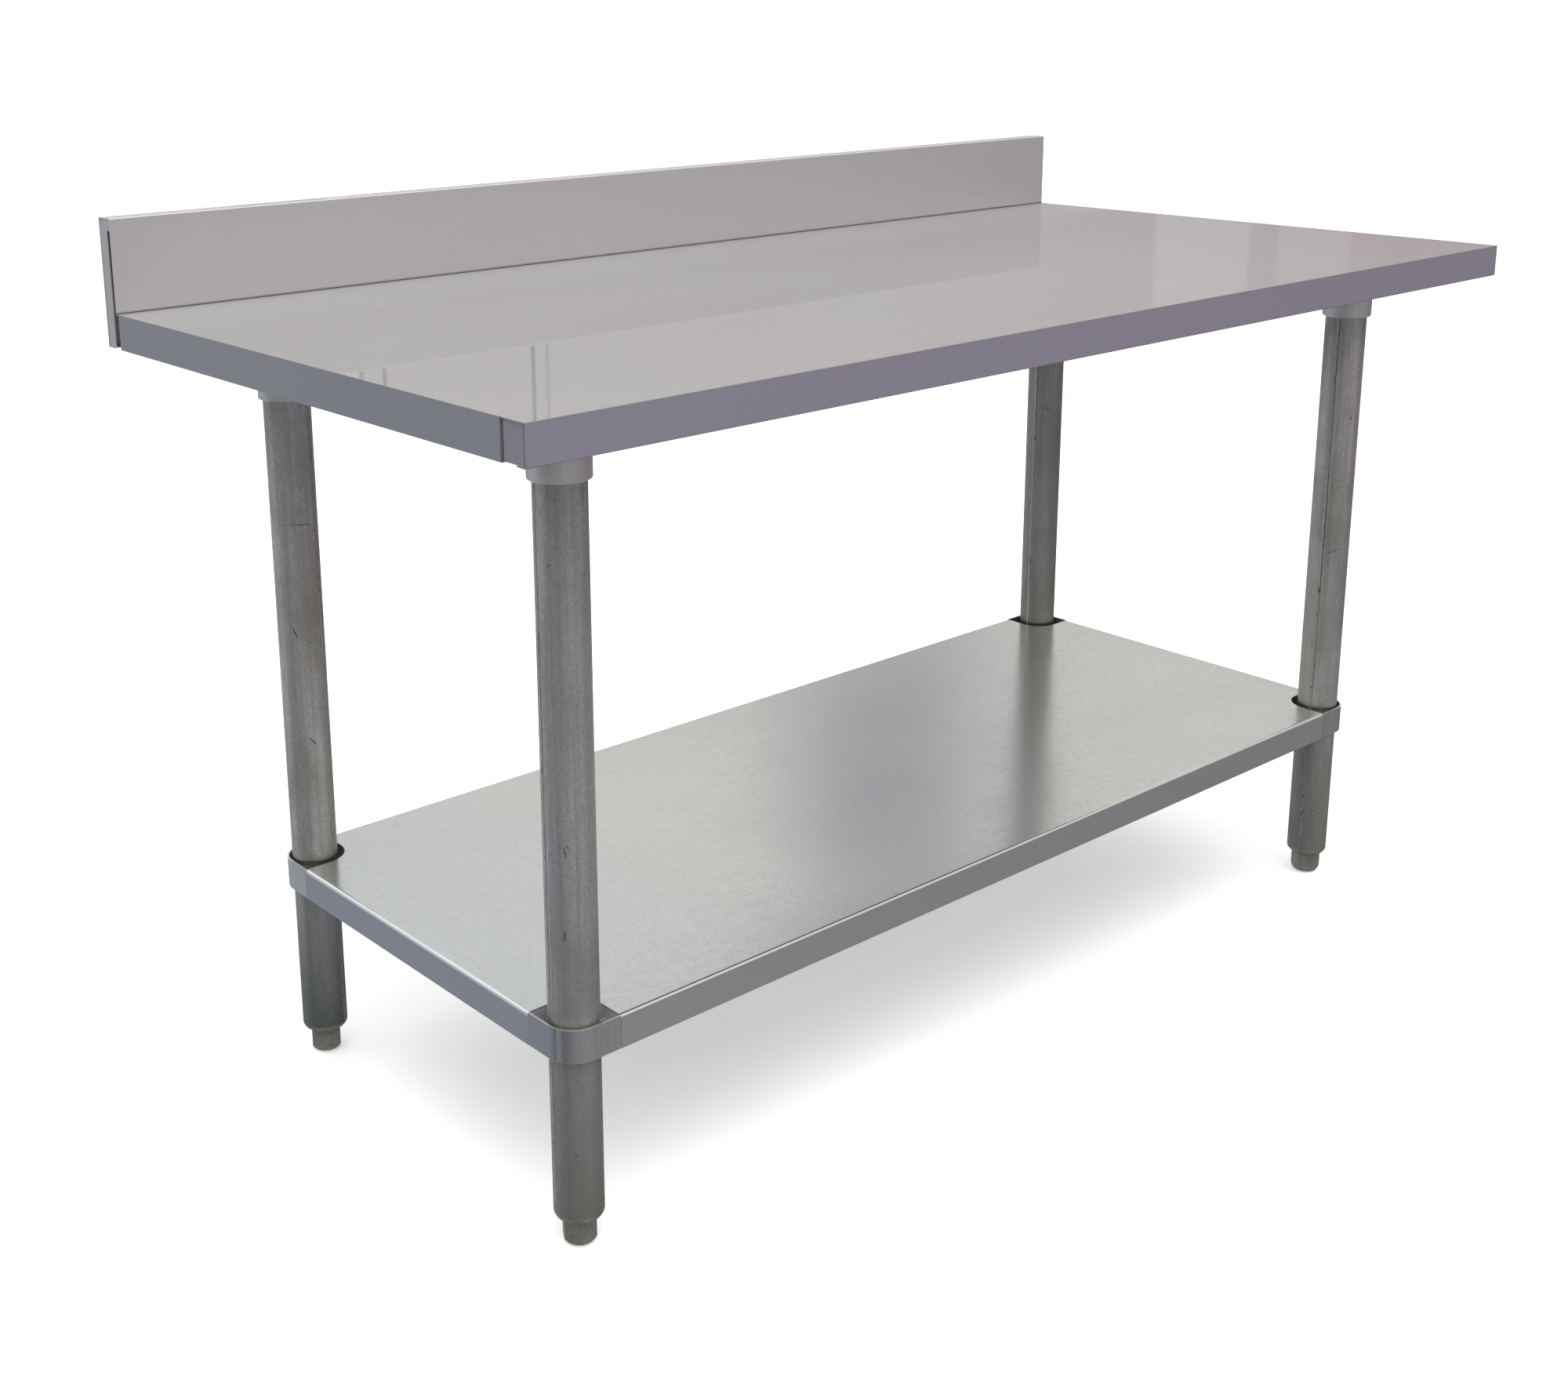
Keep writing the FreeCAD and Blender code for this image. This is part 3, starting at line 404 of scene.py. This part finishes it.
def band_steel():
    """Rolled strip: satin with vertical rolling marks, painted highlights on its rims and where it
    bends, and painted shade on its end faces.
    """
    s = Shader("band_steel")
    low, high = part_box("shelf_corner_band_front_left")
    roll = s.noise(s.mapped((420.0, 420.0, 14.0)), 1.0, 2.0)
    cloud = s.noise(s.place, 18.0, 3.0, 0.5)
    speck = s.noise(s.place, 300.0, 3.0, 0.6)
    upper_rim = s.band(s.axis("Z"), high.z, 0.0006, 0.0012)
    rim = s.larger(upper_rim, s.band(s.axis("Z"), low.z, 0.0006, 0.0012))
    colour = s.mix(s.ramp(cloud, 0.35, 0.7), (0.700, 0.680, 0.640, 1.0), (0.630, 0.615, 0.580, 1.0))
    colour = s.mix(s.ramp(roll, 0.4, 0.75, 0.0, 0.45), colour, grey(0.460, 0.0))
    colour = s.mix(s.ramp(speck, 0.5, 0.8, 0.0, 0.4), colour, grey(0.400, 0.01))
    # Painted highlight: both rims painted lighter.
    colour = s.mix(s.times(rim, 0.5), colour, grey(0.72, 0.0))
    sideways = s.math("ABSOLUTE", s.axis("X", s.normal), 0.0)
    on_end = s.times(s.ramp(sideways, 0.940, 0.955), s.ramp(s.axis("Y"), 0.1, -0.1))
    bend_highlight = s.times(s.band(sideways, 0.905, 0.025, 0.02), s.ramp(s.axis("Y"), 0.1, -0.1))
    # Painted shade: at the front legs the end faces are painted the dark blue-grey of the shelf's end
    # aprons.
    colour = s.mix(s.times(on_end, 0.7), colour, (0.350, 0.352, 0.378, 1.0))
    # Painted highlight: a bright line where the strip starts to bend, at the front legs.
    colour = s.mix(s.times(bend_highlight, 0.6), colour, grey(0.95, 0.0))
    rough = s.plus(s.ramp(cloud, 0.3, 0.7, 0.26, 0.34), s.times(roll, 0.08))
    s.relief([(cloud, 0.0002), (roll, 0.00003)])
    return s.finish(colour, rough, 0.95)


def formed_steel():
    """Folded channel in mill finish, with dark specks."""
    s = Shader("formed_steel")
    grain = s.noise(s.mapped((6.0, 500.0, 500.0)), 1.0, 3.0)
    cloud = s.noise(s.place, 5.0, 4.0, 0.6)
    speck = s.noise(s.place, 240.0, 3.0, 0.6)
    colour = s.mix(s.ramp(cloud, 0.35, 0.7), grey(0.500, 0.006), grey(0.430, 0.0))
    colour = s.mix(s.ramp(grain, 0.4, 0.75, 0.0, 0.35), colour, grey(0.350, 0.0))
    colour = s.mix(s.ramp(speck, 0.5, 0.8, 0.0, 0.4), colour, grey(0.280, 0.02))
    rough = s.plus(s.ramp(cloud, 0.3, 0.7, 0.34, 0.46), s.times(speck, 0.08))
    s.relief([(cloud, 0.0004), (grain, 0.00003)])
    return s.finish(colour, rough, 0.9)


def foot_metal():
    """Dull zinc-plated casting: dark, faintly green, pitted, rubbed where it stands."""
    s = Shader("foot_metal")
    height = s.axis("Z")
    cloud = s.noise(s.place, 60.0, 4.0, 0.6, 0.3)
    grit = s.noise(s.place, 620.0, 4.0, 0.7)
    pits = s.ramp(s.noise(s.place, 240.0, 2.0), 0.66, 0.74)
    nose = s.times(s.ramp(height, 0.0, 0.006, 1.0, 0.0), 0.6)
    colour = s.mix(s.ramp(cloud, 0.32, 0.68), (0.520, 0.510, 0.430, 1.0), (0.330, 0.335, 0.280, 1.0))
    colour = s.mix(s.ramp(grit, 0.4, 0.75, 0.0, 0.6), colour, (0.150, 0.156, 0.130, 1.0))
    colour = s.mix(s.times(pits, 0.7), colour, grey(0.05, 0.04))
    colour = s.mix(nose, colour, grey(0.30, 0.02))
    rough = s.plus(s.ramp(cloud, 0.3, 0.7, 0.42, 0.56), s.times(grit, 0.14))
    s.relief([(cloud, 0.0003), (grit, 0.00012), (s.math("SUBTRACT", 1.0, pits), 0.00015)])
    return s.finish(colour, rough, 0.8)


def fastener_steel():
    """Bright zinc plate with a yellow cast and dark flecks."""
    s = Shader("fastener_steel")
    cloud = s.noise(s.place, 90.0, 4.0, 0.6)
    fleck = s.noise(s.place, 700.0, 3.0, 0.6)
    colour = s.mix(s.ramp(cloud, 0.35, 0.7), grey(0.520, 0.05), grey(0.420, 0.02))
    colour = s.mix(s.ramp(fleck, 0.5, 0.8, 0.0, 0.6), colour, grey(0.230, 0.04))
    rough = s.plus(s.ramp(cloud, 0.3, 0.7, 0.28, 0.40), s.times(fleck, 0.1))
    s.relief([(cloud, 0.00008), (fleck, 0.00003)])
    return s.finish(colour, rough, 0.95)


def bracket_steel():
    """Bent strip inside the shelf's notches, painted bright to lift it out of its shade, with painted
    shade at all legs but the front left one.
    """
    s = Shader("bracket_steel")
    roll = s.noise(s.mapped((380.0, 380.0, 12.0)), 1.0, 2.0)
    cloud = s.noise(s.place, 26.0, 3.0, 0.5)
    # Painted light: a much brighter steel than the corner strips, lifting the notch walls out of their
    # shade.
    colour = s.mix(s.ramp(cloud, 0.35, 0.7), (0.930, 0.900, 0.970, 1.0), (0.850, 0.830, 0.890, 1.0))
    colour = s.mix(s.ramp(roll, 0.4, 0.75, 0.0, 0.3), colour, grey(0.700, 0.0, 0.01))
    # Painted shade: the notch walls at all legs but the front left one painted nearly black.
    far_legs = s.larger(s.ramp(s.axis("Y"), -0.1, 0.1), s.ramp(s.axis("X"), -0.1, 0.1))
    dark_share = s.times(far_legs, s.ramp(cloud, 0.2, 0.5, 0.6, 0.9))
    colour = s.mix(dark_share, colour, grey(0.07, 0.02))
    rough = s.plus(s.ramp(cloud, 0.3, 0.7, 0.30, 0.38), s.times(roll, 0.08))
    s.relief([(cloud, 0.0001), (roll, 0.00002)])
    return s.finish(colour, rough, 0.6)


def seam_metal():
    """The tube's long weld: a pale strip with a dark line down one side and dark flecks."""
    s = Shader("seam_metal")
    across = s.attribute("across")
    fleck = s.noise(s.mapped((1.0, 1.0, 0.5)), 260.0, 3.0, 0.6)
    worn = s.noise(s.mapped((1.0, 1.0, 0.1)), 40.0, 3.0)
    colour = s.mix(s.ramp(worn, 0.4, 0.65), (0.560, 0.553, 0.530, 1.0), (0.400, 0.395, 0.372, 1.0))
    colour = s.mix(s.ramp(fleck, 0.58, 0.68, 0.0, 0.8), colour, grey(0.10, 0.02))
    line = s.times(s.band(across, -0.60, 0.18, 0.16), s.ramp(worn, 0.62, 0.42))
    colour = s.mix(s.times(line, 0.9), colour, grey(0.05, 0.02))
    rough = s.plus(s.ramp(worn, 0.3, 0.7, 0.34, 0.46), s.times(fleck, 0.1))
    s.relief([(fleck, 0.00008), (worn, 0.0002)])
    return s.finish(colour, rough, 0.85)


def nick_grime():
    """Dark dirt caught in a scratch."""
    s = Shader("nick_grime")
    fleck = s.noise(s.place, 800.0, 3.0, 0.6)
    colour = s.mix(s.ramp(fleck, 0.35, 0.7), (0.045, 0.042, 0.038, 1.0), (0.140, 0.135, 0.122, 1.0))
    s.relief([(fleck, 0.00008)])
    return s.finish(colour, s.ramp(fleck, 0.3, 0.7, 0.6, 0.8), 0.2)


def weld_metal():
    """Ground weld: brighter than the sheet, with crossing grinding marks."""
    s = Shader("weld_metal")
    grind = s.noise(s.mapped((700.0, 700.0, 60.0), (0, 0, 40)), 1.0, 3.0)
    heat = s.noise(s.place, 120.0, 3.0)
    colour = s.mix(s.ramp(heat, 0.35, 0.65), grey(0.560, 0.02), grey(0.420, 0.05))
    colour = s.mix(s.ramp(grind, 0.4, 0.75, 0.0, 0.5), colour, grey(0.300, 0.02))
    rough = s.plus(s.ramp(heat, 0.3, 0.7, 0.34, 0.44), s.times(grind, 0.1))
    s.relief([(heat, 0.00015), (grind, 0.00006)])
    return s.finish(colour, rough, 0.95)


FINISHES = {
    "worktop_steel": worktop_steel,
    "formed_steel": formed_steel,
    "socket_cast": socket_cast,
    "leg_tube": leg_tube,
    "shelf_steel": shelf_steel,
    "band_steel": band_steel,
    "bracket_steel": bracket_steel,
    "foot_metal": foot_metal,
    "fastener_steel": fastener_steel,
}


def dress_cad_nodes():
    """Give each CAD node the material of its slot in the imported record."""
    made = {name: make() for name, make in FINISHES.items()}
    for entry in frame["record"]["subparts"]:
        node = frame["nodes"][entry["node"]]
        node.data.materials.clear()
        node.data.materials.append(made[entry["material_slot"]])
    return made


# ---- added pieces ----------------------------------------------------------------------------


def mesh_piece(name, shape, material, body):
    """A new mesh piece that rides on a CAD body."""
    mesh = bpy.data.meshes.new(name)
    shape.to_mesh(mesh)
    shape.free()
    for face in mesh.polygons:
        face.use_smooth = True
    mesh.materials.append(material)
    piece = bpy.data.objects.new(name, mesh)
    bpy.context.scene.collection.objects.link(piece)
    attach(piece, body)
    return piece


SOCKET_WELD_SIZE = 0.0022
SOCKET_WELD_INSET = 0.0005


def ring_bead(centre, radius, half, steps=96, around=10, ripples=60, lift=0.25):
    """A rippled weld bead round an upright axis."""
    shape = bmesh.new()
    rings = []
    for step in range(steps):
        turn = 2 * math.pi * step / steps
        size = half * (1 + lift * 0.5 * math.sin(turn * ripples / 2))
        ring = []
        for part in range(around):
            roll = 2 * math.pi * part / around
            reach = radius + size * math.cos(roll)
            point = Vector((reach * math.cos(turn), reach * math.sin(turn), size * math.sin(roll)))
            ring.append(shape.verts.new(point + centre))
        rings.append(ring)
    for step in range(steps):
        one, two = rings[step], rings[(step + 1) % steps]
        for part in range(around):
            after = (part + 1) % around
            shape.faces.new((one[part], two[part], two[after], one[after]))
    bmesh.ops.recalc_face_normals(shape, faces=shape.faces)
    return shape


def add_socket_welds(material):
    """The bead that joins each leg socket to its channel."""
    for corner in CORNERS:
        low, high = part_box(f"leg_socket_{corner}")
        centre = Vector(((low.x + high.x) / 2, (low.y + high.y) / 2, high.z))
        radius = (high.x - low.x) / 2 - SOCKET_WELD_INSET
        bead = ring_bead(centre - Vector((0, 0, SOCKET_WELD_SIZE)), radius, SOCKET_WELD_SIZE)
        mesh_piece(f"socket_weld_{corner}", bead, material, "frame")


LANES = (-1.0, -0.7, -0.45, -0.2, 0.2, 0.45, 0.7, 1.0)
STRIP_SINK = 0.00004
WOBBLES = ((0.12, 41.0), (0.08, 97.0))


def tube_strip(centre, radius, start, end, half, rise, steps, taper):
    """A thin strip on an upright round surface, between two (angle in degrees, height) points."""
    shape = bmesh.new()
    across = shape.verts.layers.float.new("across")
    first = Vector((math.radians(start[0]) * radius, start[1]))
    run = Vector((math.radians(end[0]) * radius, end[1])) - first
    aside = Vector((-run.y, run.x)).normalized()
    rows = []
    for step in range(steps + 1):
        along = step / steps
        width = half * (1 + sum(size * math.sin(along * rate) for size, rate in WOBBLES))
        if taper:
            width *= math.sqrt(max(0.0, 1 - (2 * along - 1) ** 2))
        row = []
        for lane in LANES:
            flat = first + run * along + aside * (lane * width)
            reach = radius + rise * (1 - lane * lane) - STRIP_SINK
            turn = flat.x / radius
            out_x, out_y = reach * math.cos(turn), reach * math.sin(turn)
            vert = shape.verts.new((centre.x + out_x, centre.y + out_y, flat.y))
            vert[across] = lane
            row.append(vert)
        rows.append(row)
    for one, two in zip(rows, rows[1:]):
        for lane in range(len(LANES) - 1):
            corners = (one[lane], two[lane], two[lane + 1], one[lane + 1])
            shape.faces.new(corners)
    return shape


def tube_axis(node):
    """The middle and radius of an upright round node."""
    low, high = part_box(node)
    return Vector(((low.x + high.x) / 2, (low.y + high.y) / 2, 0)), (high.x - low.x) / 2


SEAM_HALF = 0.0022
SEAM_RISE = 0.00012
SEAM_STEPS = 240
SEAM_START = 0.002
SEAM_END_GAP = 0.0005
SEAM_ANGLES = {"front_left": 168.0, "front_right": -168.0, "rear_left": -57.0, "rear_right": -173.0}


def add_leg_seams(material):
    """The long weld down each leg tube, from its plug to its socket."""
    for corner, angle in SEAM_ANGLES.items():
        centre, radius = tube_axis(f"leg_{corner}")
        start = (angle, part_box(f"leg_{corner}")[0].z + SEAM_START)
        end = (angle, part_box(f"leg_socket_{corner}")[0].z - SEAM_END_GAP)
        strip = tube_strip(centre, radius, start, end, SEAM_HALF, SEAM_RISE, SEAM_STEPS, False)
        mesh_piece(f"leg_seam_{corner}", strip, material, "frame")


NICK_RISE = 0.00006
NICK_STEPS = 24
# Scratches: leg, start and end as (degrees round the leg, height), half width.
NICKS = (
    ("front_left", (-75.0, 0.774), (-76.0, 0.752), 0.0006),
    ("front_left", (-141.0, 0.345), (-143.0, 0.334), 0.0008),
    ("front_left", (-140.0, 0.431), (-134.0, 0.419), 0.0007),
    ("rear_left", (-136.0, 0.640), (-68.0, 0.637), 0.0004),
    ("rear_left", (-140.0, 0.524), (-128.0, 0.510), 0.0007),
    ("rear_left", (-116.0, 0.395), (-98.0, 0.386), 0.0006),
    ("front_right", (-158.0, 0.460), (-114.0, 0.470), 0.0004),
    ("front_right", (-114.0, 0.646), (-111.0, 0.641), 0.0010),
    ("front_right", (-148.0, 0.097), (-128.0, 0.098), 0.0005),
    ("rear_right", (-148.0, 0.583), (-120.0, 0.580), 0.0004),
)


def add_leg_nicks(material):
    """The dark scratches on the legs."""
    for number, (corner, start, end, half) in enumerate(NICKS):
        centre, radius = tube_axis(f"leg_{corner}")
        strip = tube_strip(centre, radius, start, end, half, NICK_RISE, NICK_STEPS, True)
        mesh_piece(f"leg_nick_{number}", strip, material, "frame")


MOULD_HALF = 0.0005
MOULD_RISE = 0.00020
MOULD_TURN = 11
MOULD_STEPS = 40
MOULD_START = 0.002
MOULD_END_GAP = 0.004


def add_mould_lines(material):
    """The faint mould line down the outside of each cast socket."""
    for corner in CORNERS:
        node = f"leg_socket_{corner}"
        centre, radius = tube_axis(node)
        low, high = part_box(node)
        outward = math.degrees(math.atan2(-1, -1 if centre.x < 0 else 1)) + MOULD_TURN
        start, end = (outward, low.z + MOULD_START), (outward, high.z - MOULD_END_GAP)
        strip = tube_strip(centre, radius, start, end, MOULD_HALF, MOULD_RISE, MOULD_STEPS, False)
        mesh_piece(f"mould_line_{corner}", strip, material, "frame")


JOINT_LANES = 7
JOINT_PROUD = 0.00001
JOINT_DOME = 0.00003
JOINT_DEPTH = 0.0009
JOINT_WIDTH = 0.0010
JOINT_FROM_LEG = 0.0323
JOINT_BELOW_TOP = 0.0040


def add_flush_joint(material):
    """The front left corner strip's joint with the shelf's end apron, filled and ground flush."""
    low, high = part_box("shelf_pan")
    start = tube_axis("leg_front_left")[0].y + JOINT_FROM_LEG
    shape = bmesh.new()
    rows = []
    for level in (low.z + JOINT_DOME, high.z - JOINT_BELOW_TOP):
        row = [shape.verts.new((low.x + JOINT_DEPTH, start, level))]
        for lane in range(JOINT_LANES):
            along = lane / (JOINT_LANES - 1)
            rise = JOINT_PROUD + JOINT_DOME * (1 - (2 * along - 1) ** 2)
            row.append(shape.verts.new((low.x - rise, start + JOINT_WIDTH * along, level)))
        row.append(shape.verts.new((low.x + JOINT_DEPTH, start + JOINT_WIDTH, level)))
        rows.append(row)
    for lane in range(len(rows[0]) - 1):
        shape.faces.new((rows[0][lane], rows[0][lane + 1], rows[1][lane + 1], rows[1][lane]))
    bmesh.ops.recalc_face_normals(shape, faces=shape.faces)
    mesh_piece("flush_joint_front_left", shape, material, "shelf")


# ---- studio ----------------------------------------------------------------------------------


FLOOR_HALF = 30.0
FLOOR_GLOW = 0.35


def add_floor():
    """A plain pale floor, which neither lights the metal nor shows in it."""
    shape = bmesh.new()
    signs = ((-1, -1), (1, -1), (1, 1), (-1, 1))
    shape.faces.new([shape.verts.new((x * FLOOR_HALF, y * FLOOR_HALF, 0)) for x, y in signs])
    mesh = bpy.data.meshes.new("floor")
    shape.to_mesh(mesh)
    shape.free()
    material = bpy.data.materials.new("floor_paint")
    material.use_nodes = True
    surface = material.node_tree.nodes["Principled BSDF"]
    surface.inputs["Base Color"].default_value = (0.93, 0.93, 0.93, 1.0)
    surface.inputs["Roughness"].default_value = 0.9
    surface.inputs["Specular IOR Level"].default_value = 0.1
    surface.inputs["Emission Color"].default_value = (1.0, 1.0, 1.0, 1.0)
    surface.inputs["Emission Strength"].default_value = FLOOR_GLOW
    mesh.materials.append(material)
    floor = bpy.data.objects.new("floor", mesh)
    bpy.context.scene.collection.objects.link(floor)
    floor.visible_glossy = False
    floor.visible_diffuse = False


HORIZON_LEFT = (0.50, 0.485, 0.475, 1.0)
HORIZON_RIGHT = (0.34, 0.27, 0.29, 1.0)
BRIGHT_PANEL = (1.20, 1.20, 1.17, 1.0)
DARK_PANEL = (0.10, 0.10, 0.11, 1.0)
# Panels at the horizon: middle, half width and soft edge in degrees, share, colour.
PANELS = (
    (28.9, 1.3, 0.10, 0.30, DARK_PANEL),
    (30.6, 0.3, 0.08, 0.12, BRIGHT_PANEL),
    (55.2, 1.2, 0.15, 0.16, BRIGHT_PANEL),
    (58.2, 0.9, 0.10, 0.10, BRIGHT_PANEL),
)
# Posts at the horizon: middle in degrees, share.
POSTS = ((30.95, 0.9), (31.62, 0.9), (35.98, 1.0), (36.40, 0.5))
POST_HALF = 0.035
POST_COLOUR = (0.02, 0.02, 0.025, 1.0)
MIDDLE = (0.80, 0.80, 0.78, 1.0)
ZENITH = (1.60, 1.60, 1.60, 1.0)
COOL_PATCH = (0.18, 0.15, 0.25, 1.0)
COOL_SHARE = 0.95
BELOW_FRONT = (0.30, 0.29, 0.33, 1.0)
BELOW_LEFT = (0.11, 0.125, 0.15, 1.0)
BELOW_RIGHT = (0.19, 0.185, 0.21, 1.0)
BELOW_REAR = (0.42, 0.45, 0.52, 1.0)
BACKDROP = (1.0, 1.0, 1.0, 1.0)


def add_world():
    """Soft light from all round: bright overhead, tinted below, panels and posts at the horizon."""
    world = bpy.data.worlds.new("studio")
    bpy.context.scene.world = world
    world.use_nodes = True
    sky = Shader.on_tree(world.node_tree, "Generated")
    side, depth, height = (sky.axis(name) for name in "XYZ")
    around = sky.times(sky.math("ARCTAN2", side, depth), 180 / math.pi)
    horizon = sky.mix(sky.ramp(around, 46.0, 62.0), HORIZON_LEFT, HORIZON_RIGHT)
    for middle, half, soft, share, colour in PANELS:
        horizon = sky.mix(sky.times(sky.band(around, middle, half, soft), share), horizon, colour)
    upper = sky.mix(sky.ramp(height, 0.19, 0.33), horizon, MIDDLE)
    upper = sky.mix(sky.ramp(height, 0.45, 0.90), upper, ZENITH)
    patch = sky.times(sky.band(around, 46.5, 1.6, 2.0), sky.band(height, 0.385, 0.035, 0.05))
    upper = sky.mix(sky.times(patch, COOL_SHARE), upper, COOL_PATCH)
    for middle, share in POSTS:
        post = sky.band(around, middle, POST_HALF, POST_HALF)
        post = sky.times(post, sky.band(height, 0.17, 0.06, 0.02))
        upper = sky.mix(sky.times(post, share), upper, POST_COLOUR)
    lower = sky.mix(sky.ramp(side, -0.85, -0.25), BELOW_LEFT, BELOW_FRONT)
    lower = sky.mix(sky.ramp(side, 0.50, 0.92), lower, BELOW_RIGHT)
    lower = sky.mix(sky.ramp(depth, 0.1, 0.7), lower, BELOW_REAR)
    light = sky.mix(sky.ramp(height, -0.10, 0.02), lower, upper)
    rays = sky.nodes.new("ShaderNodeLightPath")
    light = sky.mix(rays.outputs["Is Camera Ray"], light, BACKDROP)
    background = sky.nodes["Background"]
    sky.feed(background.inputs["Color"], light)
    background.inputs["Strength"].default_value = 1.0


LAMP_SIZE = (3.2, 2.4)
LAMP_POWER = 60.0
LAMP_AT = (-1.0, -1.6, 3.6)
LAMP_AIM = (0, 0, 0.6)


def add_lights():
    """One large soft lamp above the left front."""
    data = bpy.data.lights.new("soft_key", "AREA")
    data.shape = "RECTANGLE"
    data.size, data.size_y = LAMP_SIZE
    data.energy = LAMP_POWER
    lamp = bpy.data.objects.new("soft_key", data)
    bpy.context.scene.collection.objects.link(lamp)
    lamp.location = LAMP_AT
    lamp.rotation_mode = "QUATERNION"
    lamp.rotation_quaternion = (Vector(LAMP_AIM) - Vector(LAMP_AT)).to_track_quat("-Z", "Y")


# ---- build -----------------------------------------------------------------------------------

add_camera()
made = dress_cad_nodes()
add_socket_welds(weld_metal())
add_leg_seams(seam_metal())
add_leg_nicks(nick_grime())
add_mould_lines(made["socket_cast"])
add_flush_joint(made["shelf_steel"])
add_floor()
add_world()
add_lights()
bpy.context.scene.view_settings.view_transform = "Standard"
